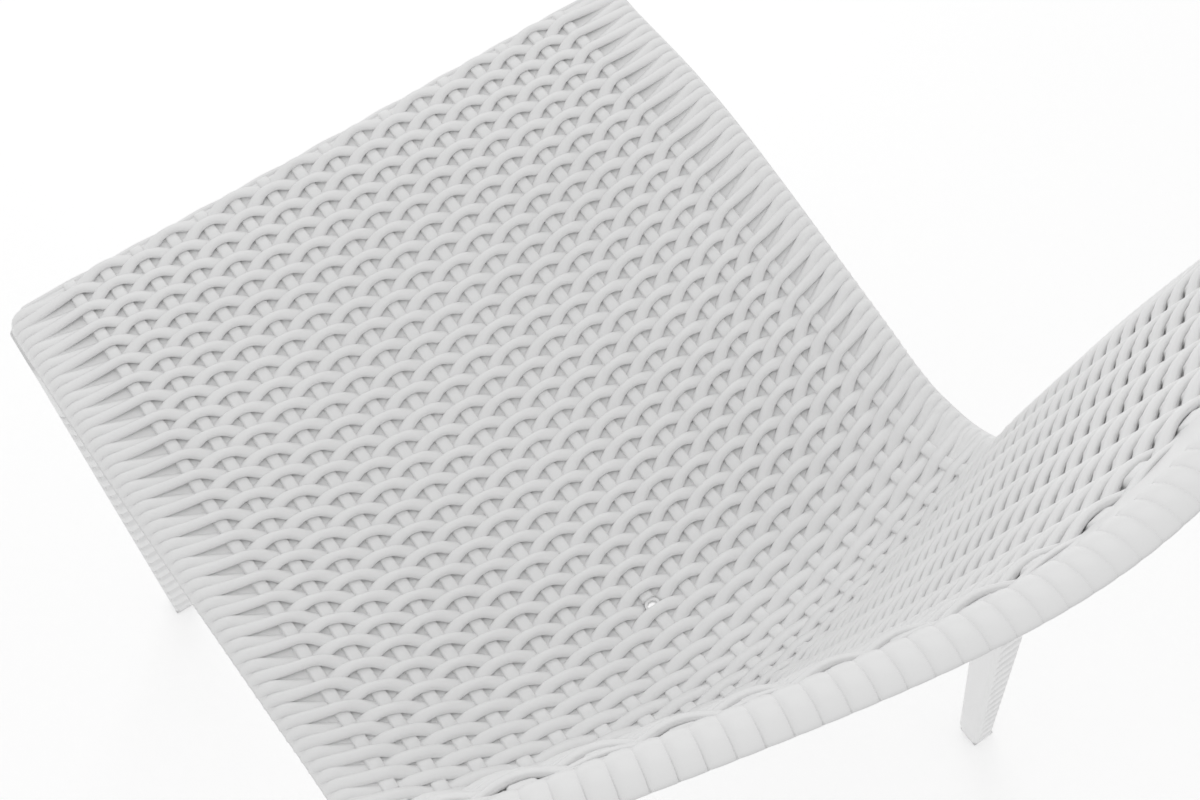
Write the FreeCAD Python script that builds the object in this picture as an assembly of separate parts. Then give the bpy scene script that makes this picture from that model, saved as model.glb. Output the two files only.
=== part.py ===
import FreeCAD, Part
import math
import os

# Armless garden chair moulded in resin with a wicker pattern.
# A single seat-and-back shell carries four hollow legs in sockets under its corners.
# Frame: +X to the sitter's left, +Y from the front edge to the back, +Z up, floor at z = 0.
# Lengths are millimetres.

V = FreeCAD.Vector

# ---- driving dimensions ----
SEAT_HEIGHT = 436.0           # floor to the front edge of the seat at its sides
FRONT_ROW_Y = -252.4          # first cross strand of the seat
WEFT_LAST = 106.0             # cross strand at the top of the back, counted from the seat
WEFT_FIRST = -10.4            # cross strand at the front edge
SHELL_THICKNESS = 5.0
RIM_DEPTH = 13.0              # deeper border all round the shell
RIM_WIDTH = 9.0
SLAB_COLUMNS = 7              # surface samples on each side of the centre plane
SLAB_ROWS = 58                # surface samples from the front edge to the top
FRONT_CORNER_RADIUS = 16.0
TOP_CORNER_RADIUS = 46.0
HALF_WIDTH_FRONT = 217.0
HALF_WIDTH_BACK = 202.0
SIDE_STATION = 200.0          # lateral distance of the side profile from the centre plane
BACK_CREASE = 60.0            # lateral distance over which the hollow of the back is rounded
BEND_FIRST = 40.0             # cross strands where the seat's cross curve turns into the back's
BEND_LAST = 52.0
WEFT_PITCH = 7.4              # nominal spacing of the cross strands along the shell

# Profile stations: (cross strand, centre y, centre z, side y, side z), from the front row
PROFILE = (
    (-10, -16, -5, -14, 2),
    (-4, 31, -8, 28, 6.5),
    (3, 85, -16, 77, 10),
    (10, 139, -27, 124, 9),
    (18, 201, -36, 177, 4.5),
    (26, 263, -41, 229, -1),
    (34, 325, -42, 285, -7),
    (38, 356, -40, 312, -10),
    (41, 379, -34, 332, -9),
    (44, 397, -22, 356, -2),
    (47, 409, -4, 372, 13),
    (51, 419, 24, 378, 40),
    (60, 435, 89, 387, 101),
    (75, 460, 197, 406, 202),
    (90, 486, 310, 431, 305),
    (106, 512, 430, 466, 411),
)

DRAIN_HOLE_WEFT = 34.5
DRAIN_HOLE_DIAMETER = 6.0

LEG_WALL = 3.2
SOCKET_WALL = 4.5
SPIGOT_CLEARANCE = 0.2
SOLE_THICKNESS = 3.0
PLUG_DEPTH = 14.0
PLUG_CLEARANCE = 0.35
TOE_CHAMFER = 5.8             # lower front edge of each foot, across the sole and into the leg
SHOULDER_Z = SEAT_HEIGHT - 62.0
SCREW_SHANK_DIAMETER = 4.7
SCREW_HOLE_DIAMETER = 4.9
SCREW_HEAD_DIAMETER = 10.0
SCREW_HEAD_HEIGHT = 3.2
SCREW_LENGTH = 14.0

# Leg outlines as (x0, x1, y0, y1) on the +X side of the chair, at the floor and where the leg meets its socket
FRONT_FOOT = (212.0, 231.5, FRONT_ROW_Y - 16.0, FRONT_ROW_Y + 3.0)
FRONT_SOCKET = (186.0, 217.4, FRONT_ROW_Y - 9.0, FRONT_ROW_Y + 24.0)
REAR_FOOT = (221.5, 240.0, FRONT_ROW_Y + 433.0, FRONT_ROW_Y + 453.0)
REAR_SOCKET = (172.5, 201.0, FRONT_ROW_Y + 410.0, FRONT_ROW_Y + 434.0)
FRONT_SOCKET_TOP = (186.0, 215.2, FRONT_ROW_Y - 9.0, FRONT_ROW_Y + 24.0)


# ---- the shell's middle surface ----
def station_value(column, weft):
    """Smooth curve through one column of the profile stations."""
    knots = [row[0] for row in PROFILE]
    values = [row[column] for row in PROFILE]
    i = 0
    while i < len(knots) - 2 and weft > knots[i + 1]:
        i += 1
    span = knots[i + 1] - knots[i]
    t = (weft - knots[i]) / span

    def slope(k):
        low = max(k - 1, 0)
        high = min(k + 1, len(knots) - 1)
        return (values[high] - values[low]) / (knots[high] - knots[low])

    if t < 0 or t > 1:
        edge = 0 if t < 0 else 1
        return values[i + edge] + slope(i + edge) * (weft - knots[i + edge])
    a = values[i]
    b = values[i + 1]
    ta = slope(i) * span
    tb = slope(i + 1) * span
    cubic = (2 * t ** 3 - 3 * t ** 2 + 1) * a + (t ** 3 - 2 * t ** 2 + t) * ta
    return cubic + (3 * t ** 2 - 2 * t ** 3) * b + (t ** 3 - t ** 2) * tb


def side_share(x, weft):
    """How far the surface has gone from its centre profile to its side profile."""
    seat = (x / SIDE_STATION) ** 2
    reach = math.hypot(SIDE_STATION, BACK_CREASE) - BACK_CREASE
    back = (math.hypot(x, BACK_CREASE) - BACK_CREASE) / reach
    t = min(max((weft - BEND_FIRST) / (BEND_LAST - BEND_FIRST), 0), 1)
    turn = t * t * (3 - 2 * t)
    return seat + (back - seat) * turn


def surface_point(x, weft):
    """Seating surface at a lateral distance x and a cross strand number."""
    blend = side_share(x, weft)
    y = station_value(1, weft) * (1 - blend) + station_value(3, weft) * blend
    z = station_value(2, weft) * (1 - blend) + station_value(4, weft) * blend
    return V(x, FRONT_ROW_Y + y, SEAT_HEIGHT + z)


def surface_frame(x, weft):
    """Unit vectors across, along and out of the seating surface."""
    across = surface_point(x + 1, weft) - surface_point(x - 1, weft)
    along = surface_point(x, weft + 0.2) - surface_point(x, weft - 0.2)
    normal = across.cross(along)
    across.normalize()
    along.normalize()
    normal.normalize()
    return across, along, normal


def half_width(weft):
    """Half width of the shell, tapering along the seat and constant up the back."""
    seat_share = min(max((weft - WEFT_FIRST) / (40 - WEFT_FIRST), 0), 1)
    return HALF_WIDTH_FRONT + (HALF_WIDTH_BACK - HALF_WIDTH_FRONT) * seat_share


def slab(margin, depth_top, depth_under):
    """Solid between two depths under the seating surface, inset from the outline by a margin."""
    first = WEFT_FIRST + margin / WEFT_PITCH
    last = WEFT_LAST - margin / WEFT_PITCH
    faces = []
    surfaces = []
    for depth in (depth_top, depth_under):
        points = []
        for i in range(-SLAB_COLUMNS, SLAB_COLUMNS + 1):
            column = []
            for j in range(SLAB_ROWS + 1):
                weft = first + (last - first) * j / SLAB_ROWS
                x = (half_width(weft) - margin) * i / SLAB_COLUMNS
                column.append(surface_point(x, weft) - surface_frame(x, weft)[2] * depth)
            points.append(column)
        surface = Part.BSplineSurface()
        surface.interpolate(points)
        surfaces.append(surface)
        faces.append(surface.toShape())
    top, under = surfaces
    u0, u1, v0, v1 = top.bounds()
    p0, p1, q0, q1 = under.bounds()
    rims = (
        (top.uIso(u0), under.uIso(p0)),
        (top.uIso(u1), under.uIso(p1)),
        (top.vIso(v0), under.vIso(q0)),
        (top.vIso(v1), under.vIso(q1)),
    )
    for outer, inner in rims:
        faces.append(Part.makeRuledSurface(outer.toShape(), inner.toShape()))
    sewn = Part.makeShell(faces)
    sewn.sewShape(0.01)
    solid = Part.makeSolid(sewn)
    if solid.Volume < 0:
        solid.reverse()
    return solid


def corner_cutter(side, weft, radius, margin, end):
    """Square block with a round bite that leaves one rounded corner of the slab."""
    edge = half_width(weft)
    stretch = (surface_point(edge, weft) - surface_point(edge - radius, weft)).Length / radius
    x = side * (edge - radius / stretch)
    step = (surface_point(x, weft) - surface_point(x, weft - end)).Length
    centre_weft = weft - end * radius / step
    across, along, normal = surface_frame(x, centre_weft)
    centre = surface_point(x, centre_weft)
    outward = across * side
    forward = along * end
    reach = radius + 30
    base = centre - normal * 40
    far = base + outward * reach + forward * reach
    corners = [base, base + outward * reach, far, base + forward * reach, base]
    block = Part.Face(Part.makePolygon(corners)).extrude(normal * 80)
    return block.cut(Part.makeCylinder(radius - margin, 80, base, normal))


def rounded_slab(margin, depth_top, depth_under):
    solid = slab(margin, depth_top, depth_under)
    for side in (-1, 1):
        solid = solid.cut(corner_cutter(side, WEFT_LAST, TOP_CORNER_RADIUS, margin, 1))
        solid = solid.cut(corner_cutter(side, WEFT_FIRST, FRONT_CORNER_RADIUS, margin, -1))
    return solid


def shell_body():
    """Even-walled shell with a deeper border all round its underside."""
    return rounded_slab(0, 0, RIM_DEPTH).cut(rounded_slab(RIM_WIDTH, SHELL_THICKNESS, RIM_DEPTH + 6))


# ---- helpers for straight parts ----
def rectangle(outline, z):
    x0, x1, y0, y1 = outline
    return Part.makePolygon([V(x0, y0, z), V(x1, y0, z), V(x1, y1, z), V(x0, y1, z), V(x0, y0, z)])


def inset(outline, amount):
    x0, x1, y0, y1 = outline
    return (x0 + amount, x1 - amount, y0 + amount, y1 - amount)


def between(low, high, share):
    return tuple(a + (b - a) * share for a, b in zip(low, high))


def tapered(low, high, z0, z1):
    """Solid with a rectangular section that changes from low at z0 to high at z1."""
    return Part.makeLoft([rectangle(low, z0), rectangle(high, z1)], True, True)


def mirrored(shape):
    return shape.mirror(V(0, 0, 0), V(1, 0, 0))


def screw_places(socket, is_rear):
    """Start points of the two screws of a leg, on the socket's inner side wall."""
    y = (socket[2] + socket[3]) / 2
    first = SHOULDER_Z + 12
    return [V(socket[0], y, first), V(socket[0], y, first + (24 if is_rear else 20))]


# ---- sockets ----
def front_socket():
    return tapered(FRONT_SOCKET, FRONT_SOCKET_TOP, SHOULDER_Z, SEAT_HEIGHT - 1.0)


def rear_socket():
    """Wedge under and behind the bend, trimmed to end inside the shell's thickness."""
    x0, x1, y0, y1 = REAR_SOCKET
    outline = []
    for weft in (39, 42, 45, 48, 52, 57):
        middle = (x0 + x1) / 2
        crest = surface_point(middle, weft) + surface_frame(middle, weft)[2] * 7
        outline.append(V(x0, crest.y, crest.z))
    outline.append(V(x0, y1, SEAT_HEIGHT - 8))
    outline.append(V(x0, y1, SHOULDER_Z))
    outline.append(V(x0, y0, SHOULDER_Z))
    outline.append(outline[0])
    wedge = Part.Face(Part.makePolygon(outline)).extrude(V(x1 - x0, 0, 0))
    return wedge.cut(slab(0, -17, SHELL_THICKNESS / 2))


def socket_cavity(socket, top_z):
    hollow = inset(socket, SOCKET_WALL)
    return tapered(hollow, hollow, SHOULDER_Z - 1, top_z)


def spigot_top(is_rear):
    return SEAT_HEIGHT - (14.0 if is_rear else 12.0)


def screw_hole(place):
    reach = SOCKET_WALL + LEG_WALL + 3
    return Part.makeCylinder(SCREW_HOLE_DIAMETER / 2, reach, place - V(1, 0, 0), V(1, 0, 0))


def seat_back_shell():
    shell = shell_body()
    sockets = ((front_socket(), FRONT_SOCKET, False), (rear_socket(), REAR_SOCKET, True))
    for body, outline, is_rear in sockets:
        cavity = socket_cavity(outline, spigot_top(is_rear) + SPIGOT_CLEARANCE)
        for hole in screw_places(outline, is_rear):
            cavity = cavity.fuse(screw_hole(hole))
        for side in (body, mirrored(body)):
            shell = shell.fuse(side)
        for side in (cavity, mirrored(cavity)):
            shell = shell.cut(side)
    low = surface_point(0, DRAIN_HOLE_WEFT)
    drain = Part.makeCylinder(DRAIN_HOLE_DIAMETER / 2, 30, low - V(0, 0, 15), V(0, 0, 1))
    return shell.cut(drain)


# ---- legs ----
def leg(foot, socket, is_rear):
    """Hollow tapered leg with a spigot for its socket and an open end for the glide."""
    spigot = inset(socket, SOCKET_WALL + SPIGOT_CLEARANCE)
    body = tapered(foot, socket, SOLE_THICKNESS, SHOULDER_Z)
    body = body.fuse(tapered(spigot, spigot, SHOULDER_Z - 4, spigot_top(is_rear)))
    cap = SHOULDER_Z - 4
    hollow_top = inset(between(foot, socket, 0.985), LEG_WALL)
    hollow = tapered(inset(foot, LEG_WALL), hollow_top, SOLE_THICKNESS, cap)
    body = body.cut(hollow)
    core = inset(spigot, LEG_WALL)
    body = body.cut(tapered(core, core, SHOULDER_Z, spigot_top(is_rear) - LEG_WALL))
    for place in screw_places(socket, is_rear):
        body = body.cut(screw_hole(place))
    return body.cut(toe_cutter(foot))


def toe_cutter(foot):
    """Wedge that chamfers the lower front edge of the foot."""
    x0, x1, y0 = foot[:3]
    reach = TOE_CHAMFER + 2
    corner = V(x0 - 2, y0 - 2, -2)
    outline = [corner, V(x0 - 2, y0 + reach, -2), V(x0 - 2, y0 - 2, reach), corner]
    return Part.Face(Part.makePolygon(outline)).extrude(V(x1 - x0 + 4, 0, 0))


def foot_glide(foot):
    """Sole plate with a plug that fills the end of the leg."""
    plug = inset(foot, LEG_WALL + PLUG_CLEARANCE)
    plate = tapered(inset(foot, 0.8), foot, 0, SOLE_THICKNESS).cut(toe_cutter(foot))
    return plate.fuse(tapered(plug, plug, SOLE_THICKNESS, SOLE_THICKNESS + PLUG_DEPTH))


# ---- fasteners ----
def screw(place):
    shank = Part.makeCylinder(SCREW_SHANK_DIAMETER / 2, SCREW_LENGTH, place, V(1, 0, 0))
    tip = Part.makeCone(SCREW_SHANK_DIAMETER / 2, 0.8, 3, place + V(SCREW_LENGTH, 0, 0), V(1, 0, 0))
    head = Part.makeCylinder(SCREW_HEAD_DIAMETER / 2, SCREW_HEAD_HEIGHT, place, V(-1, 0, 0))
    recess_x = place.x - SCREW_HEAD_HEIGHT
    rounded = [edge for edge in head.Edges if abs(edge.BoundBox.XMax - recess_x) < 0.01]
    head = head.makeFillet(1.2, rounded)
    for size in (V(1.8, 1.1, 5.2), V(1.8, 5.2, 1.1)):
        slot = Part.makeBox(size.x, size.y, size.z, V(recess_x, place.y - size.y / 2, place.z - size.z / 2))
        head = head.cut(slot)
    return head.fuse([shank, tip])


def leg_screws():
    screws = []
    for socket, is_rear in ((FRONT_SOCKET, False), (REAR_SOCKET, True)):
        for place in screw_places(socket, is_rear):
            one = screw(place)
            screws += [one, mirrored(one)]
    return Part.makeCompound(screws)


# ---- export ----
def export(name, shape):
    shape.exportStep("parts/" + name + ".step")
    box = shape.BoundBox
    sizes = (box.XMin, box.XMax, box.YMin, box.YMax, box.ZMin, box.ZMax)
    print(name, len(shape.Solids), shape.isValid(), round(shape.Volume), [round(v, 1) for v in sizes])


def main():
    os.makedirs("parts", exist_ok=True)
    export("seat_back_shell", seat_back_shell())
    for end, foot, socket in (("front", FRONT_FOOT, FRONT_SOCKET), ("rear", REAR_FOOT, REAR_SOCKET)):
        left = leg(foot, socket, end == "rear")
        glide = foot_glide(foot)
        export(end + "_left_leg", left)
        export(end + "_right_leg", mirrored(left))
        export(end + "_left_glide", glide)
        export(end + "_right_glide", mirrored(glide))
    export("leg_screws", leg_screws())


main()
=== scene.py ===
import math

import bmesh
import bpy
import numpy as np
from mathutils import Matrix, Vector

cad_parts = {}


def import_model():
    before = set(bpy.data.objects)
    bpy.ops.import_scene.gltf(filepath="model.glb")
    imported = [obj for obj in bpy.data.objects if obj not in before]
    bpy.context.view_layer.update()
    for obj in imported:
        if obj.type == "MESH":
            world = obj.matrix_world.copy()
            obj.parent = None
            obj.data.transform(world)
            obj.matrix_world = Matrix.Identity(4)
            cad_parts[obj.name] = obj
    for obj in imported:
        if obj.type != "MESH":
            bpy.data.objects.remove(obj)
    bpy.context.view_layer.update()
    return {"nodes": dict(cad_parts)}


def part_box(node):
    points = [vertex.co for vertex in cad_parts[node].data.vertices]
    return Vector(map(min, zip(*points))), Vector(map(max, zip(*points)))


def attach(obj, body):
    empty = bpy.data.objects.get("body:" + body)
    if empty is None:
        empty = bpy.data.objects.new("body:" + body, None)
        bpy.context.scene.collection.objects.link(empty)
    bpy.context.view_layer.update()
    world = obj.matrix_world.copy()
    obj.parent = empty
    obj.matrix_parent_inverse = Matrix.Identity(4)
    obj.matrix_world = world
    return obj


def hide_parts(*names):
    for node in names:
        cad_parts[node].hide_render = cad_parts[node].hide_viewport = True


# Armless wicker-pattern garden chair: a moulded shell with a plain weave in relief, on four tapered legs.
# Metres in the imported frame: +X to the sitter's left, +Y to the back, +Z up. Warps run front to back, and
# wefts across. Wefts are counted from the front of the seat, over the bend, to the top of the back. A place
# on the shell is a distance from the centre line, a weft number (a fraction lies between two) and a lift.

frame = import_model()
MM = 0.001

# ---- shell outline ----
WARP_PITCH = 21.5 * MM
WARPS_EACH_SIDE = 8
FIELD = WARPS_EACH_SIDE * WARP_PITCH    # from the centre line to the last warp
WEFT_PITCH = 7.4 * MM                   # nominal
WEFT_FRONT = -10.8                      # weft numbers at the front and top edges
WEFT_TOP = 106.0
SEAT_LAST = 40                          # last weft of the seat, where the bend starts
BEND_LAST = 52                          # first weft with the full cross curve of the back
HALF_WIDTH_FRONT = 217.0 * MM
HALF_WIDTH_BACK = 202.0 * MM
FRONT_CORNER = 16.0 * MM
TOP_CORNER = 46.0 * MM
SIDE_ROLL = (12.0 * MM, math.radians(62))     # rolled edges: radius and the angle they turn through
TOP_ROLL = (12.0 * MM, math.radians(84))
FRONT_ROLL = (8.0 * MM, math.radians(75))
SIDE_STATION = 200.0 * MM               # distance from the centre line of the side profile
BACK_CREASE = 60.0 * MM                 # distance over which the hollow of the back is rounded

# ---- rainwater hole on the centre line ----
DRAIN_WEFT = 34.5
DRAIN_RADIUS = 3.0 * MM
DRAIN_PITCH = 7.75 * MM                 # actual spacing of the wefts there
COLLAR_SECTION = ((0.0, -0.1), (1.5, -0.1), (1.5, -4.4), (0.0, -4.4))    # added radius and lift, in mm

# ---- weave: lifts, shifts and half sizes in millimetres ----
FIRST_WEFT = -11
LAST_WEFT = 102
WARP_SPLIT = 40.5                       # where the warps of the seat meet those of the back
WARP_END = 103.2
CLOSING = (30.0, 43.0)                  # wefts over which the open weave of the seat closes up
FADING = (99.5, 102.5)                  # wefts over which the weave fades out below the top binding
FADED_LIFT = -1.6
WEFT_LIFT = (-1.3, -0.6)                # middle height on the seat and on the back
WEFT_SWING = 2.7                        # rise over one warp and fall under the next
BEND_SWING_LOSS = 1.1                   # swing lost in the bend, and the wefts over which it comes back
BEND_RECOVERY = (44, 58)
FRONT_SWING_LOSS = 2.2                  # swing and arch lost in the last wefts of the front edge
FRONT_CALM = (-9.0, -11.0)
FRONT_ARCH_LOSS = 0.9
BACK_ARCH_LOSS = 0.92
DIVE_ARCH = 2.0                         # scale of the shift to the back where a weft dives between warps
MARGIN_ARCH = 2.8                       # the same shift in the plain margin
CROWN_WIDE = 2.9                        # on a crown, and how much wider a weft is where it dives
DIVE_WIDEN = 1.3
CLOSE_WIDE = (4.1, 3.85)                # in the bend and on the back
CLOSE_NARROWING = (42, 50)
WEFT_THICK = (2.2, 1.8)                 # on the seat and on the back
WEFT_FADE_THIN = 1.2
RIM_LIFT = -1.9                         # where a weft reaches the rolled edge
RIM_WIDE = 3.72
RIM_SINK = 1.6                          # how far its end sinks into the rolled edge
RIM_SINK_START = 0.45                   # share of the roll where that begins
WEFT_SQUARENESS = 2.2                   # 2 is an ellipse, more is squarer
STEPS_PER_WARP = 8                      # points along a weft
WARP_LIFT = (-2.4, -1.5)                # on the seat and on the back
WARP_SWING = (0.5, 0.9)
WARP_WIDE = (3.8, 4.3)
WARP_THICK = (2.5, 0.6)                 # below the fading and above it
WARP_SQUARENESS = 4.0
STEPS_PER_WEFT = 6                      # points along a warp

# ---- backing skin: depths under the surface in millimetres ----
SKIN_THICK = 2.6
SKIN_SEAT_DEPTH = 2.5
SKIN_BEND_DEPTH = 0.6
SKIN_BACK_DEPTH = 1.6
SKIN_EDGE_DEPTH = 1.3
SKIN_TOP_DEPTH = 0.3
# Where the depth goes over to that of the back, the front edge, the top edge and the sides
SKIN_BACK_WEFTS = (46, 58)
SKIN_FRONT_WEFTS = (-9.4, -10.4)
SKIN_TOP_WEFTS = (98.5, 101.5)
SKIN_SIDE_FROM = FIELD + 14 * MM
SKIN_SIDE_TO = FIELD + 30 * MM
SKIN_ROWS = 220
SKIN_COLUMNS = 97
SKIN_ROLL_STEPS = 9
SKIN_FRONT_STEPS = 12
SKIN_TOP_STEPS = 24

# ---- ribs over the top edge, three to a warp ----
BINDING_PITCH = WARP_PITCH / 3
BINDING_WIDE = 5.0 * MM
BINDING_LAP = 4 * MM                    # how far a rib runs onto the back before the roll
BINDING_START = (-1.6, 0.8)             # lift and half thickness in mm at its lower end
BINDING_GAIN = (0.7, 0.9)               # what they gain over the first part of its length
BINDING_TUCK = 0.5                      # how far its outer end dips in, in mm

# ---- legs and sockets ----
LEG_RIB = 16.5 * MM
LEG_RIB_DEPTH = 2.3 * MM
LEG_RADIUS = 3.5 * MM
# One rib from its foot up: share of the rib's height, share of the groove's depth
LEDGE = ((0.0, 0.0), (0.45, 0.0), (0.5, 0.15), (0.62, 1.0), (0.68, 1.0), (0.95, 0.1))
TOE_CHAMFER = 5.8 * MM
SOCKET_RADIUS = 4 * MM
SOCKET_LEAN = 2.2 * MM                  # how far a front socket's outer face leans in up to the seat
GUSSET_TOP = 59                         # weft where a rear socket runs out into the back
GUSSET_DEPTH = 4.5 * MM                 # how far its upper end lies under the surface
RING_STEPS = 4                          # steps round a rounded corner
SIDES = ((1, "left"), (-1, "right"))
# Sections in millimetres at the shoulder and at the foot: inner x, outer x, then front y and rear y counted
# from the seat's front row
SOCKETS = {"front": (186.0, 217.4, -9.0, 24.0), "rear": (172.5, 201.0, 410.0, 434.0)}
FEET = {"front": (212.0, 231.5, -16.0, 3.0), "rear": (221.5, 240.0, 433.0, 453.0)}

# ---- finishes ----
MOTTLE_SCALE = 9.0                      # of the resin's clouds of colour and gloss
MOTTLE_DARK = 0.965
GRAIN_STRENGTH = 0.12
GRAIN_HEIGHT = 0.3 * MM

# ---- picture ----
# The camera stands above and behind, its place given in warp pitches from the middle of the front row
CAMERA_PLACE = Vector((8.73, 26.61, 37.78))
CAMERA_RIGHT = Vector((-0.8208, 0.5710, -0.0164))
CAMERA_UP = Vector((-0.5153, -0.7277, 0.4526))
LENS = 49.0
SKY_STRENGTH = 0.735
FLOOR_HALF = 6.0
FLOOR_GLOW = 0.22
# Name, place, target, side of the square, power
LIGHTS = (
    ("key", (-1.0, -2.2, 1.8), (0, 0, 0.5), 2.2, 9),
    ("overhead", (0.3, 0.2, 2.8), (0, 0, 0.45), 2.6, 4),
)

# Seating surface in millimetres from the seat's front row: (weft, centre y, centre z, side y, side z)
PROFILE = np.array((
    (-10, -16, -5, -14, 2),
    (-4, 31, -8, 28, 6.5),
    (3, 85, -16, 77, 10),
    (10, 139, -27, 124, 9),
    (18, 201, -36, 177, 4.5),
    (26, 263, -41, 229, -1),
    (34, 325, -42, 285, -7),
    (38, 356, -40, 312, -10),
    (41, 379, -34, 332, -9),
    (44, 397, -22, 356, -2),
    (47, 409, -4, 372, 13),
    (51, 419, 24, 378, 40),
    (60, 435, 89, 387, 101),
    (75, 460, 197, 406, 202),
    (90, 486, 310, 431, 305),
    (106, 512, 430, 466, 411),
), dtype=float)
PROFILE[:, 1:] *= MM

# The profile's origin lies 16 mm behind the front of the front feet and 430 mm below the shell's top
FRONT_ROW_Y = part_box("front_left_leg")[0][1] + 16 * MM
SEAT_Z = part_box("seat_back_shell")[1][2] - 430.0 * MM
SHOULDER_Z = 374.0 * MM                 # where the sockets end and the legs show


# ---- blending ----
def ramp(low, high, value):
    return np.clip((value - low) / (high - low), 0, 1)


def smooth(low, high, value):
    t = ramp(low, high, value)
    return t * t * (3 - 2 * t)


def mix(start, end, share):
    return start + (end - start) * share


# ---- seating surface ----
def profile_slopes():
    knots = PROFILE[:, 0]
    low = np.maximum(np.arange(len(knots)) - 1, 0)
    high = np.minimum(np.arange(len(knots)) + 1, len(knots) - 1)
    return (PROFILE[high] - PROFILE[low]) / (knots[high] - knots[low])[:, None]


SLOPES = profile_slopes()


def profile_at(weft):
    """Rows of (centre y, centre z, side y, side z) for an array of weft numbers."""
    knots = PROFILE[:, 0]
    i = np.clip(np.searchsorted(knots, weft) - 1, 0, len(knots) - 2)
    span = knots[i + 1] - knots[i]
    t = ((weft - knots[i]) / span)[:, None]
    a, b = PROFILE[i, 1:], PROFILE[i + 1, 1:]
    ta, tb = SLOPES[i, 1:] * span[:, None], SLOPES[i + 1, 1:] * span[:, None]
    inner = np.clip(t, 0, 1)
    value = (2 * inner ** 3 - 3 * inner ** 2 + 1) * a + (inner ** 3 - 2 * inner ** 2 + inner) * ta
    value += (3 * inner ** 2 - 2 * inner ** 3) * b + (inner ** 3 - inner ** 2) * tb
    return value + np.minimum(t, 0) * ta + np.maximum(t - 1, 0) * tb


def side_share(x, weft):
    """How far the surface has gone from its centre profile to its side profile."""
    seat = (x / SIDE_STATION) ** 2
    reach = math.hypot(SIDE_STATION, BACK_CREASE) - BACK_CREASE
    back = (np.hypot(x, BACK_CREASE) - BACK_CREASE) / reach
    return mix(seat, back, smooth(SEAT_LAST, BEND_LAST, weft))


def surface(x, weft):
    """Points of the seating surface."""
    rows = profile_at(weft)
    share = side_share(x, weft)
    y = mix(rows[:, 0], rows[:, 2], share)
    z = mix(rows[:, 1], rows[:, 3], share)
    return np.stack([x, FRONT_ROW_Y + y, SEAT_Z + z], axis=1)


def unit(v):
    return v / np.maximum(np.linalg.norm(v, axis=1), 1e-12)[:, None]


def surface_frame(x, weft):
    """Directions across and along the surface, and the one that faces the sitter."""
    across = unit(surface(x + MM, weft) - surface(x - MM, weft))
    along = unit(surface(x, weft + 0.2) - surface(x, weft - 0.2))
    return across, along, unit(np.cross(across, along))


def half_width(weft):
    return mix(HALF_WIDTH_FRONT, HALF_WIDTH_BACK, ramp(WEFT_FRONT, SEAT_LAST, weft))


def roll_at(top, share):
    """Radius and length of the rolled edge; share is 0 on the long sides, 1 on the front and top edges."""
    end_radius = np.where(top, TOP_ROLL[0], FRONT_ROLL[0])
    end_angle = np.where(top, TOP_ROLL[1], FRONT_ROLL[1])
    radius = mix(SIDE_ROLL[0], end_radius, share)
    return radius, radius * mix(SIDE_ROLL[1], end_angle, share)


def shell_points(a, weft, lift):
    """Points over the rolled shell, and the direction that faces out of it there.

    a is the distance from the centre line along the shell. Near an edge or corner of the outline, u and v
    are how far a place has gone into the corner's circle, sideways and towards the front or top.
    """
    top = weft > SEAT_LAST
    corner = np.where(top, TOP_CORNER, FRONT_CORNER)
    beyond_top = (weft - WEFT_TOP) * WEFT_PITCH + TOP_CORNER
    beyond_front = (WEFT_FRONT - weft) * WEFT_PITCH + FRONT_CORNER
    v = np.maximum(np.where(top, beyond_top, beyond_front), 0)
    v_sign = np.where(top, 1.0, -1.0)
    inner_weft = np.where(top, weft - v / WEFT_PITCH, weft + v / WEFT_PITCH)
    width = half_width(inner_weft)
    u = np.maximum(np.abs(a) - (width - corner), 0)
    distance = np.maximum(np.hypot(u, v), 1e-9)
    radius = roll_at(top, (v / distance) ** 2)[0]
    excess = np.maximum(distance - (corner - radius), 0)
    angle = excess / radius
    reach = distance - excess + radius * np.sin(angle)
    drop = radius * (1 - np.cos(angle))
    x = np.sign(a) * (np.minimum(np.abs(a), width - corner) + reach * u / distance)
    w = inner_weft + v_sign * reach * v / distance / WEFT_PITCH
    across, along, normal = surface_frame(x, w)
    out_u, out_v = np.sign(a) * u / distance, v_sign * v / distance
    outward = unit(across * out_u[:, None] + along * out_v[:, None] + normal * 1e-9)
    facing = normal * np.cos(angle)[:, None] + outward * np.sin(angle)[:, None]
    return surface(x, w) - normal * drop[:, None] + facing * lift[:, None], facing


def side_reach(weft):
    """Length along a weft from the centre line to the end of the rolled edge, found in a few rounds."""
    weft = float(weft)
    top = weft > SEAT_LAST
    corner = TOP_CORNER if top else FRONT_CORNER
    beyond = (weft - WEFT_TOP) if top else (WEFT_FRONT - weft)
    v = max(beyond * WEFT_PITCH + corner, 0)
    u = corner
    for _ in range(12):
        radius, length = roll_at(top, v ** 2 / max(u ** 2 + v ** 2, 1e-12))
        limit = corner - float(radius) + float(length)
        u = math.sqrt(max(limit ** 2 - v ** 2, 0))
    return float(half_width(np.array([weft]))[0]) - corner + u


def roll_length(roll):
    return roll[0] * roll[1]


SIDE_ROLL_LENGTH = roll_length(SIDE_ROLL)
TOP_REACH = TOP_CORNER - TOP_ROLL[0] + roll_length(TOP_ROLL)          # from a corner's centre over the roll
FRONT_REACH = FRONT_CORNER - FRONT_ROLL[0] + roll_length(FRONT_ROLL)


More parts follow.
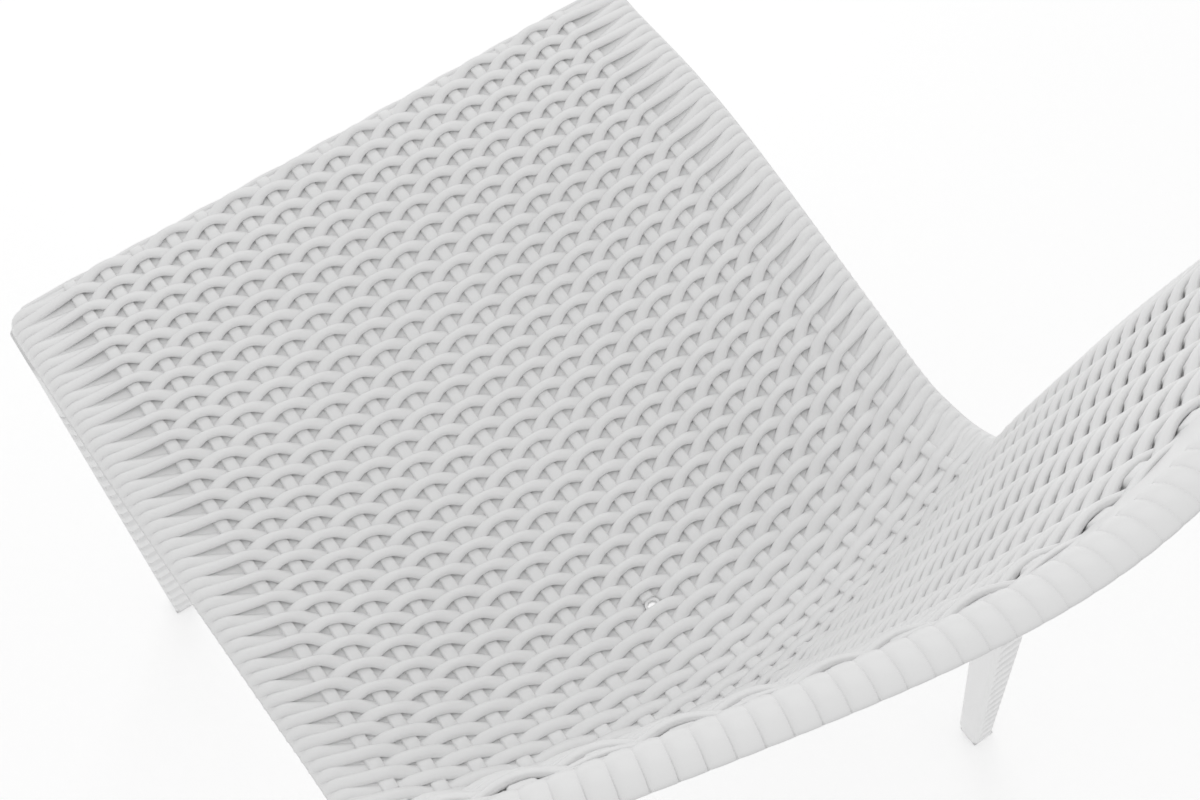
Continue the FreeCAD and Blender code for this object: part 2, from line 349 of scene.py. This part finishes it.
# ---- mesh helpers ----
def mesh_object(name, verts, faces, material, smooth_faces=True):
    mesh = bpy.data.meshes.new(name)
    mesh.from_pydata([tuple(v) for v in verts], [], faces)
    mesh.validate()
    if smooth_faces:
        mesh.polygons.foreach_set("use_smooth", [True] * len(mesh.polygons))
    mesh.materials.append(material)
    mesh.update()
    piece = bpy.data.objects.new(name, mesh)
    bpy.context.scene.collection.objects.link(piece)
    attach(piece, "root")
    return piece


class Strands:
    """Collects closed tubes that follow paths over the shell, with superellipse sections."""

    def __init__(self, sides):
        self.sides = sides
        self.verts = []
        self.faces = []
        self.count = 0

    def add(self, a, weft, lift, half_wide, half_thick, squareness):
        centre, facing = shell_points(a, weft, lift)
        tangent = unit(np.gradient(centre, axis=0))
        side = unit(np.cross(tangent, facing))
        up = unit(np.cross(side, tangent))
        angles = np.arange(self.sides) * 2 * math.pi / self.sides
        power = 2.0 / squareness
        c = np.sign(np.cos(angles)) * np.abs(np.cos(angles)) ** power
        s = np.sign(np.sin(angles)) * np.abs(np.sin(angles)) ** power
        rings = centre[:, None, :] + side[:, None, :] * (half_wide[:, None] * c)[:, :, None]
        rings = rings + up[:, None, :] * (half_thick[:, None] * s)[:, :, None]
        self.verts.append(rings.reshape(-1, 3))
        self.add_faces(len(centre))

    def add_faces(self, length):
        base, k = self.count, self.sides
        for i in range(length - 1):
            for j in range(k):
                p, q = base + i * k + j, base + i * k + (j + 1) % k
                self.faces.append((p, q, q + k, p + k))
        self.faces.append(tuple(base + j for j in reversed(range(k))))
        self.faces.append(tuple(base + (length - 1) * k + j for j in range(k)))
        self.count += length * k

    def build(self, name):
        return mesh_object(name, np.concatenate(self.verts), self.faces, SHELL)


# ---- materials ----
def resin(name, colour, roughness, grain):
    """Moulded resin: a faint mottling of colour and gloss, and a fine moulded grain."""
    material = bpy.data.materials.new(name)
    material.use_nodes = True
    nodes, links = material.node_tree.nodes, material.node_tree.links
    shader = nodes["Principled BSDF"]
    shader.inputs["IOR"].default_value = 1.49
    place = nodes.new("ShaderNodeTexCoord")
    cloud = nodes.new("ShaderNodeTexNoise")
    cloud.inputs["Scale"].default_value = MOTTLE_SCALE
    cloud.inputs["Detail"].default_value = 4.0
    tint = nodes.new("ShaderNodeValToRGB")
    tint.color_ramp.elements[0].position = 0.3
    tint.color_ramp.elements[0].color = (*[c * MOTTLE_DARK for c in colour], 1)
    tint.color_ramp.elements[1].position = 0.7
    tint.color_ramp.elements[1].color = (*colour, 1)
    gloss = nodes.new("ShaderNodeMapRange")
    gloss.inputs["To Min"].default_value = roughness - 0.05
    gloss.inputs["To Max"].default_value = roughness + 0.06
    fine = nodes.new("ShaderNodeTexNoise")
    fine.inputs["Scale"].default_value = grain
    fine.inputs["Detail"].default_value = 3.0
    bump = nodes.new("ShaderNodeBump")
    bump.inputs["Strength"].default_value = GRAIN_STRENGTH
    bump.inputs["Distance"].default_value = GRAIN_HEIGHT
    links.new(place.outputs["Object"], cloud.inputs["Vector"])
    links.new(place.outputs["Object"], fine.inputs["Vector"])
    links.new(cloud.outputs["Fac"], tint.inputs["Fac"])
    links.new(tint.outputs["Color"], shader.inputs["Base Color"])
    links.new(cloud.outputs["Fac"], gloss.inputs["Value"])
    links.new(gloss.outputs["Result"], shader.inputs["Roughness"])
    links.new(fine.outputs["Fac"], bump.inputs["Height"])
    links.new(bump.outputs["Normal"], shader.inputs["Normal"])
    return material


def steel(name):
    material = bpy.data.materials.new(name)
    material.use_nodes = True
    nodes, links = material.node_tree.nodes, material.node_tree.links
    shader = nodes["Principled BSDF"]
    shader.inputs["Metallic"].default_value = 1.0
    place = nodes.new("ShaderNodeTexCoord")
    noise = nodes.new("ShaderNodeTexNoise")
    noise.inputs["Scale"].default_value = 600.0
    tint = nodes.new("ShaderNodeValToRGB")
    tint.color_ramp.elements[0].color = (0.48, 0.48, 0.5, 1)
    tint.color_ramp.elements[1].color = (0.68, 0.68, 0.69, 1)
    gloss = nodes.new("ShaderNodeMapRange")
    gloss.inputs["To Min"].default_value = 0.22
    gloss.inputs["To Max"].default_value = 0.42
    links.new(place.outputs["Object"], noise.inputs["Vector"])
    links.new(noise.outputs["Fac"], tint.inputs["Fac"])
    links.new(tint.outputs["Color"], shader.inputs["Base Color"])
    links.new(noise.outputs["Fac"], gloss.inputs["Value"])
    links.new(gloss.outputs["Result"], shader.inputs["Roughness"])
    return material


SHELL = resin("shell_resin", (0.87, 0.87, 0.87), 0.32, 900.0)
LEG = resin("leg_resin", (0.86, 0.86, 0.86), 0.40, 900.0)
GLIDE = resin("glide_nylon", (0.74, 0.74, 0.74), 0.55, 1200.0)
STEEL = steel("screw_steel")


# ---- weave ----
def flatness(weft):
    """0 on the open weave of the seat, 1 on the close weave of the back."""
    return smooth(*CLOSING, weft)


def weft_stations(weft):
    """Distances from the centre line along a weft, closer together round the rolled edges."""
    reach = side_reach(weft)
    turn = reach - SIDE_ROLL_LENGTH
    middle = np.linspace(-FIELD, FIELD, 2 * WARPS_EACH_SIDE * STEPS_PER_WARP + 1)
    margin = np.concatenate([np.linspace(FIELD, turn, 10)[1:], np.linspace(turn, reach - 1 * MM, 9)[1:]])
    return np.concatenate([-margin[::-1], middle, margin]), turn


def weft_shape(weft, a, turn):
    """Shift to the back, lift and half sizes along a weft, in millimetres.

    It rides over every second warp and arches back where it dives between them. Past the last warp it runs
    plain to the rim and sinks into the rolled edge.
    """
    flat = float(flatness(weft))
    fade = float(smooth(*FADING, weft))
    calm = float(smooth(*FRONT_CALM, weft)) ** 2
    wave = -math.cos(math.pi * weft) * np.cos(math.pi * np.clip(a, -FIELD, FIELD) / WARP_PITCH)
    margin = ramp(FIELD, half_width(weft) - SIDE_ROLL[0], np.abs(a))
    sink = smooth(RIM_SINK_START, 1.0, (np.abs(a) - turn) / SIDE_ROLL_LENGTH)

    arch = (1 - BACK_ARCH_LOSS * flat) * (1 - FRONT_ARCH_LOSS * calm)
    shift = mix(DIVE_ARCH * arch * (1 - wave) ** 1.5, MARGIN_ARCH * arch, margin)

    bend_loss = BEND_SWING_LOSS * flat * (1 - smooth(*BEND_RECOVERY, weft))
    swing = WEFT_SWING - bend_loss - FRONT_SWING_LOSS * calm
    lift = mix(mix(*WEFT_LIFT, flat) + swing * wave, RIM_LIFT, margin)
    lift = mix(lift, FADED_LIFT, fade) - RIM_SINK * sink * (1 - fade)

    dive = np.minimum((0.5 - 0.5 * wave) * 1.7, 1)
    close = mix(*CLOSE_WIDE, smooth(*CLOSE_NARROWING, weft))
    wide = mix(mix(CROWN_WIDE + DIVE_WIDEN * dive, close, flat), RIM_WIDE, margin)
    thick = np.full(len(a), mix(*WEFT_THICK, flat) - WEFT_FADE_THIN * fade)
    return shift, lift, wide, thick


def weft_strands(name, wefts, sides):
    """Wefts as tubes; the one that crosses the drain hole is cut there."""
    strands = Strands(sides)
    for weft in wefts:
        a, turn = weft_stations(weft)
        shift, lift, wide, thick = weft_shape(weft, a, turn)
        number = weft + shift * MM / WEFT_PITCH
        parts = [np.full(len(a), True)]
        if weft == int(DRAIN_WEFT):
            parts = [a < -DRAIN_RADIUS, a > DRAIN_RADIUS]
        for part in parts:
            strands.add(a[part], number[part], lift[part] * MM,
                        wide[part] * MM, thick[part] * MM, WEFT_SQUARENESS)
    return strands.build(name)


def warp_strands(name, first, last):
    """Warps, seen as short flat stubs between the wefts; the middle one is cut at the drain hole."""
    strands = Strands(12)
    weft = np.linspace(first, last, int((last - first) * STEPS_PER_WEFT) + 1)
    flat = flatness(weft)
    fade = smooth(*FADING, weft)
    wide = mix(*WARP_WIDE, flat)
    thick = mix(*WARP_THICK, fade)
    clear = (DRAIN_RADIUS + 0.2 * MM) / DRAIN_PITCH
    for k in range(-WARPS_EACH_SIDE, WARPS_EACH_SIDE + 1):
        over = np.cos(math.pi * (weft - k))
        lift = mix(*WARP_LIFT, flat) + mix(*WARP_SWING, flat) * over
        lift = mix(lift, FADED_LIFT, fade)
        parts = [np.full(len(weft), True)]
        if k == 0:
            parts = [weft < DRAIN_WEFT - clear, weft > DRAIN_WEFT + clear]
        for part in parts:
            if part.any():
                strands.add(np.full(part.sum(), k * WARP_PITCH), weft[part], lift[part] * MM,
                            wide[part] * MM, thick[part] * MM, WARP_SQUARENESS)
    return strands.build(name)


# ---- backing skin ----
def skin_rows():
    """Weft numbers of the skin's rows, closer round the front and top edges, and the drain hole's row."""
    low = WEFT_FRONT + FRONT_CORNER / WEFT_PITCH
    high = WEFT_TOP - TOP_CORNER / WEFT_PITCH
    front = [math.cos(math.pi / 2 * i / SKIN_FRONT_STEPS) for i in range(SKIN_FRONT_STEPS)]
    top = [math.sin(math.pi / 2 * (i + 1) / SKIN_TOP_STEPS) for i in range(SKIN_TOP_STEPS)]
    rows = [low - FRONT_REACH / WEFT_PITCH * share for share in front]
    rows += list(np.linspace(low, high, SKIN_ROWS))
    rows += [high + TOP_REACH / WEFT_PITCH * share for share in top]
    hole_row = int(np.argmin(np.abs(np.array(rows) - DRAIN_WEFT)))
    rows[hole_row] = DRAIN_WEFT
    return rows, hole_row


def skin_row(weft):
    """Distances from the centre line and weft numbers along one row."""
    reach = side_reach(weft)
    turn = reach - SIDE_ROLL_LENGTH
    a = np.concatenate([
        np.linspace(-reach, -turn, SKIN_ROLL_STEPS)[:-1],
        np.linspace(-turn, turn, SKIN_COLUMNS),
        np.linspace(turn, reach, SKIN_ROLL_STEPS)[1:],
    ])
    return a, np.full(len(a), float(weft))


def draw_to_hole(a, number, row):
    """Moves a row's middle points onto the drain hole's edge; row is -1, 0 or 1, counted from the hole."""
    middle = len(a) // 2
    for j in (-1, 0, 1):
        if (row, j) != (0, 0):
            angle = math.atan2(row, j)
            a[middle + j] = DRAIN_RADIUS * math.cos(angle)
            number[middle + j] = DRAIN_WEFT + DRAIN_RADIUS * math.sin(angle) / DRAIN_PITCH


def skin_depth(a, number):
    """How far the skin lies under the seating surface, in millimetres."""
    depth = mix(SKIN_SEAT_DEPTH, SKIN_BEND_DEPTH, flatness(number))
    depth = mix(depth, SKIN_BACK_DEPTH, smooth(*SKIN_BACK_WEFTS, number))
    to_side = smooth(SKIN_SIDE_FROM, SKIN_SIDE_TO, np.abs(a))
    to_front = smooth(*SKIN_FRONT_WEFTS, number)
    depth = mix(depth, SKIN_EDGE_DEPTH, np.maximum(to_side, to_front))
    return mix(depth, SKIN_TOP_DEPTH, smooth(*SKIN_TOP_WEFTS, number))


def sheet_faces(rows, columns, hole_row, hole_column):
    """Faces of a sheet made of two grids, with a hole of four cells, the hole's wall and the outer edge."""
    under = rows * columns
    faces = []
    for i in range(rows - 1):
        for j in range(columns - 1):
            if i in (hole_row - 1, hole_row) and j in (hole_column - 1, hole_column):
                continue
            p = i * columns + j
            faces.append((p, p + 1, p + columns + 1, p + columns))
            faces.append((under + p, under + p + columns, under + p + columns + 1, under + p + 1))
    ring = [(-1, -1), (-1, 0), (-1, 1), (0, 1), (1, 1), (1, 0), (1, -1), (0, -1)]
    wall = [(hole_row + i) * columns + hole_column + j for i, j in ring]
    for s, e in zip(wall, wall[1:] + wall[:1]):
        faces.append((s, e, under + e, under + s))
    edge = [j for j in range(columns)] + [i * columns + columns - 1 for i in range(1, rows)]
    edge += [(rows - 1) * columns + j for j in range(columns - 2, -1, -1)]
    edge += [i * columns for i in range(rows - 2, 0, -1)]
    for s, e in zip(edge, edge[1:] + edge[:1]):
        faces.append((e, s, under + s, under + e))
    return faces


def skin(name):
    """Closed backing behind the strands, rolled over at the edges, with the drain hole through it."""
    rows, hole_row = skin_rows()
    face_side, under_side = [], []
    for i, weft in enumerate(rows):
        a, number = skin_row(weft)
        if abs(i - hole_row) <= 1:
            draw_to_hole(a, number, i - hole_row)
        depth = skin_depth(a, number)
        face_side.append(shell_points(a, number, -depth * MM)[0])
        under_side.append(shell_points(a, number, -(depth + SKIN_THICK) * MM)[0])
    columns = len(face_side[0])
    verts = np.concatenate(face_side + under_side)
    faces = sheet_faces(len(rows), columns, hole_row, columns // 2)
    used = sorted({i for face in faces for i in face})
    place = {old: new for new, old in enumerate(used)}
    return mesh_object(name, verts[used], [tuple(place[i] for i in face) for face in faces], SHELL)


def drain_collar(name):
    """Short tube that lines the drain hole through the strands."""
    verts, faces = [], []
    steps = 24
    for i in range(steps):
        angle = 2 * math.pi * i / steps
        for growth, lift in COLLAR_SECTION:
            radius = DRAIN_RADIUS + growth * MM
            a = np.array([radius * math.cos(angle)])
            weft = np.array([DRAIN_WEFT + radius * math.sin(angle) / DRAIN_PITCH])
            verts.append(shell_points(a, weft, np.array([lift * MM]))[0][0])
    for i in range(steps):
        for j in range(4):
            k, n = (j + 1) % 4, (i + 1) % steps
            faces.append((i * 4 + j, n * 4 + j, n * 4 + k, i * 4 + k))
    return mesh_object(name, verts, faces, SHELL, smooth_faces=False)


def top_binding(name):
    """Shallow ribs that wrap over the top edge and follow its corners."""
    strands = Strands(10)
    corner = HALF_WIDTH_BACK - TOP_CORNER
    count = int((corner + TOP_REACH * 0.7) / BINDING_PITCH)
    share = np.linspace(0, 1, 18)
    rise = smooth(0, 0.3, share)
    lift = (BINDING_START[0] + BINDING_GAIN[0] * rise - BINDING_TUCK * smooth(0.9, 1.0, share)) * MM
    thick = (BINDING_START[1] + BINDING_GAIN[1] * rise) * MM
    wide = np.full(len(share), BINDING_WIDE)
    for i in range(-count, count + 1):
        x = i * BINDING_PITCH
        u = max(abs(x) - corner, 0)
        end = WEFT_TOP + (math.sqrt(TOP_REACH ** 2 - u ** 2) - TOP_CORNER) / WEFT_PITCH
        start = end - (roll_length(TOP_ROLL) + BINDING_LAP) / WEFT_PITCH
        strands.add(np.full(len(share), x), mix(start, end + 0.1, share), lift, wide, thick, 2.0)
    return strands.build(name)


# ---- straight parts ----
def rounded_ring(x0, x1, y0, y1, radius):
    """Points round a rectangle with rounded corners, from the outer rear corner in along the rear side."""
    points = []
    for cx, cy, start in ((x1 - radius, y1 - radius, 0), (x0 + radius, y1 - radius, 90),
                          (x0 + radius, y0 + radius, 180), (x1 - radius, y0 + radius, 270)):
        for i in range(RING_STEPS + 1):
            angle = math.radians(start + 90 * i / RING_STEPS)
            points.append((cx + radius * math.cos(angle), cy + radius * math.sin(angle)))
    return points


def ringed_solid(name, rings, material):
    """Closed solid through rings of points, all with the same number of points."""
    n, m = len(rings), len(rings[0])
    verts = [p for ring in rings for p in ring]
    faces = []
    for i in range(n - 1):
        for j in range(m):
            k = (j + 1) % m
            faces.append((i * m + j, i * m + k, (i + 1) * m + k, (i + 1) * m + j))
    faces.append(tuple(reversed(range(m))))
    faces.append(tuple(range((n - 1) * m, n * m)))
    return mesh_object(name, verts, faces, material)


def outline(table, end):
    x0, x1, y0, y1 = [v * MM for v in table[end]]
    return x0, x1, FRONT_ROW_Y + y0, FRONT_ROW_Y + y1


def facing_out(rings, side):
    """The same rings with their points in the order that turns the faces outwards on the given side."""
    return rings if side > 0 else [list(reversed(ring)) for ring in rings]


def leg_ring(x0, x1, y0, y1, z, depth, side):
    """One level of a leg: its outer and rear faces are set in by the groove's depth."""
    points = rounded_ring(x0, x1, y0 + max(0.0, TOE_CHAMFER - z), y1, LEG_RADIUS)
    points.insert(RING_STEPS + 1, (mix(x0, x1, 0.35), y1))
    ring = []
    for x, y in points:
        rear = ramp(x0 + 4 * MM, x0 + 8 * MM, x) * ramp(y1 - 2 * MM, y1, y)
        outer = ramp(x1 - 2 * MM, x1, x)
        ring.append((side * (x - depth * outer), y - depth * rear, z))
    return ring


def leg(end, side, node):
    """Tapered leg with plain inner faces and finely ribbed outer and rear faces."""
    foot, top = outline(FEET, end), outline(SOCKETS, end)
    z0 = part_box(node)[0][2]
    height = SHOULDER_Z - z0
    ribs = range(int(height / LEG_RIB))
    levels = [(z0 + (rib + share) * LEG_RIB, groove) for rib in ribs for share, groove in LEDGE]
    rings = []
    for z, groove in levels + [(SHOULDER_Z, 0.0)]:
        share = (z - z0) / height
        section = [mix(low, high, share) for low, high in zip(foot, top)]
        rings.append(leg_ring(*section, z, LEG_RIB_DEPTH * groove * smooth(0.0, 0.03, share), side))
    piece = ringed_solid(node + "_ribbed", facing_out(rings, side), LEG)
    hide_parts(node)


def front_socket_rings(side):
    x0, x1, y0, y1 = outline(SOCKETS, "front")
    rings = []
    for z in (SHOULDER_Z, SHOULDER_Z + 1 * MM, SEAT_Z - 14 * MM, SEAT_Z - 3 * MM):
        outer = x1 - SOCKET_LEAN * (z - SHOULDER_Z) / (SEAT_Z - SHOULDER_Z)
        rings.append([(side * x, y, z) for x, y in rounded_ring(x0, outer, y0, y1, SOCKET_RADIUS)])
    return rings


def rear_socket_rings(side):
    """A gusset that narrows from the leg's shoulder up to a line just behind the seating surface."""
    x0, x1, y0, y1 = outline(SOCKETS, "rear")
    ends = np.array([x0, x1])
    rings = []
    for share in np.linspace(0, 1, 14):
        weft = np.full(2, mix(SEAT_LAST, GUSSET_TOP, share))
        crest = surface(ends, weft) - surface_frame(ends, weft)[2] * GUSSET_DEPTH
        ring = []
        for x, y in rounded_ring(x0, x1, y0, y1, SOCKET_RADIUS):
            crest_y, crest_z = mix(crest[0], crest[1], (x - x0) / (x1 - x0))[1:]
            front = mix(y0, crest_y, share)
            rear = mix(y1, crest_y, share ** 1.5)
            ring.append((side * x, mix(front, rear, (y - y0) / (y1 - y0)), mix(SHOULDER_Z, crest_z, share)))
        rings.append(ring)
    return rings


def socket(end, side, word):
    rings = front_socket_rings(side) if end == "front" else rear_socket_rings(side)
    return ringed_solid(f"{end}_socket_{word}", facing_out(rings, side), SHELL)


# ---- assemble ----
shell_pieces = [
    skin("shell_skin"),
    weft_strands("seat_wefts", range(FIRST_WEFT, SEAT_LAST + 1), 10),
    weft_strands("back_wefts", range(SEAT_LAST + 1, LAST_WEFT + 1), 8),
    warp_strands("seat_warps", FIRST_WEFT, WARP_SPLIT),
    warp_strands("back_warps", WARP_SPLIT, WARP_END),
    top_binding("top_binding"),
    drain_collar("drain_collar"),
]
for end in ("front", "rear"):
    for side, word in SIDES:
        shell_pieces.append(socket(end, side, word))
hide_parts("seat_back_shell")

for end in ("front", "rear"):
    for side, word in SIDES:
        leg(end, side, f"{end}_{word}_leg")

for node in frame["nodes"]:
    thing = bpy.data.objects.get(node)
    finish = GLIDE if "glide" in node else STEEL if "screw" in node else None
    if thing is not None and finish is not None:
        for slot in thing.material_slots:
            slot.material = finish


# ---- floor, light and camera ----
def floor():
    bm = bmesh.new()
    corners = ((-1, -1), (1, -1), (1, 1), (-1, 1))
    bm.faces.new([bm.verts.new((x * FLOOR_HALF, y * FLOOR_HALF, 0)) for x, y in corners])
    mesh = bpy.data.meshes.new("floor")
    bm.to_mesh(mesh)
    bm.free()
    ground = bpy.data.objects.new("floor", mesh)
    bpy.context.scene.collection.objects.link(ground)
    material = bpy.data.materials.new("floor_white")
    material.use_nodes = True
    shader = material.node_tree.nodes["Principled BSDF"]
    shader.inputs["Base Color"].default_value = (0.92, 0.92, 0.92, 1)
    shader.inputs["Roughness"].default_value = 0.35
    shader.inputs["Emission Color"].default_value = (1, 1, 1, 1)
    shader.inputs["Emission Strength"].default_value = FLOOR_GLOW
    mesh.materials.append(material)


def area_light(name, place, target, size, power):
    data = bpy.data.lights.new(name, "AREA")
    data.size = size
    data.energy = power
    lamp = bpy.data.objects.new(name, data)
    lamp.location = place
    lamp.rotation_euler = (Vector(target) - Vector(place)).to_track_quat("-Z", "Y").to_euler()
    bpy.context.scene.collection.objects.link(lamp)


def world():
    sky = bpy.data.worlds.new("studio")
    sky.use_nodes = True
    background = sky.node_tree.nodes["Background"]
    background.inputs["Color"].default_value = (1, 1, 1, 1)
    background.inputs["Strength"].default_value = SKY_STRENGTH
    bpy.context.scene.world = sky


def camera():
    data = bpy.data.cameras.new("camera")
    data.lens = LENS
    data.sensor_width = 36.0
    back = CAMERA_RIGHT.cross(CAMERA_UP).normalized()
    up = back.cross(CAMERA_RIGHT).normalized()
    matrix = Matrix((CAMERA_RIGHT.normalized(), up, back)).transposed().to_4x4()
    matrix.translation = CAMERA_PLACE * WARP_PITCH + Vector((0, FRONT_ROW_Y, SEAT_Z))
    eye = bpy.data.objects.new("camera", data)
    eye.matrix_world = matrix
    bpy.context.scene.collection.objects.link(eye)
    bpy.context.scene.camera = eye


floor()
world()
for light in LIGHTS:
    area_light(*light)
camera()
bpy.context.scene.view_settings.view_transform = "Standard"
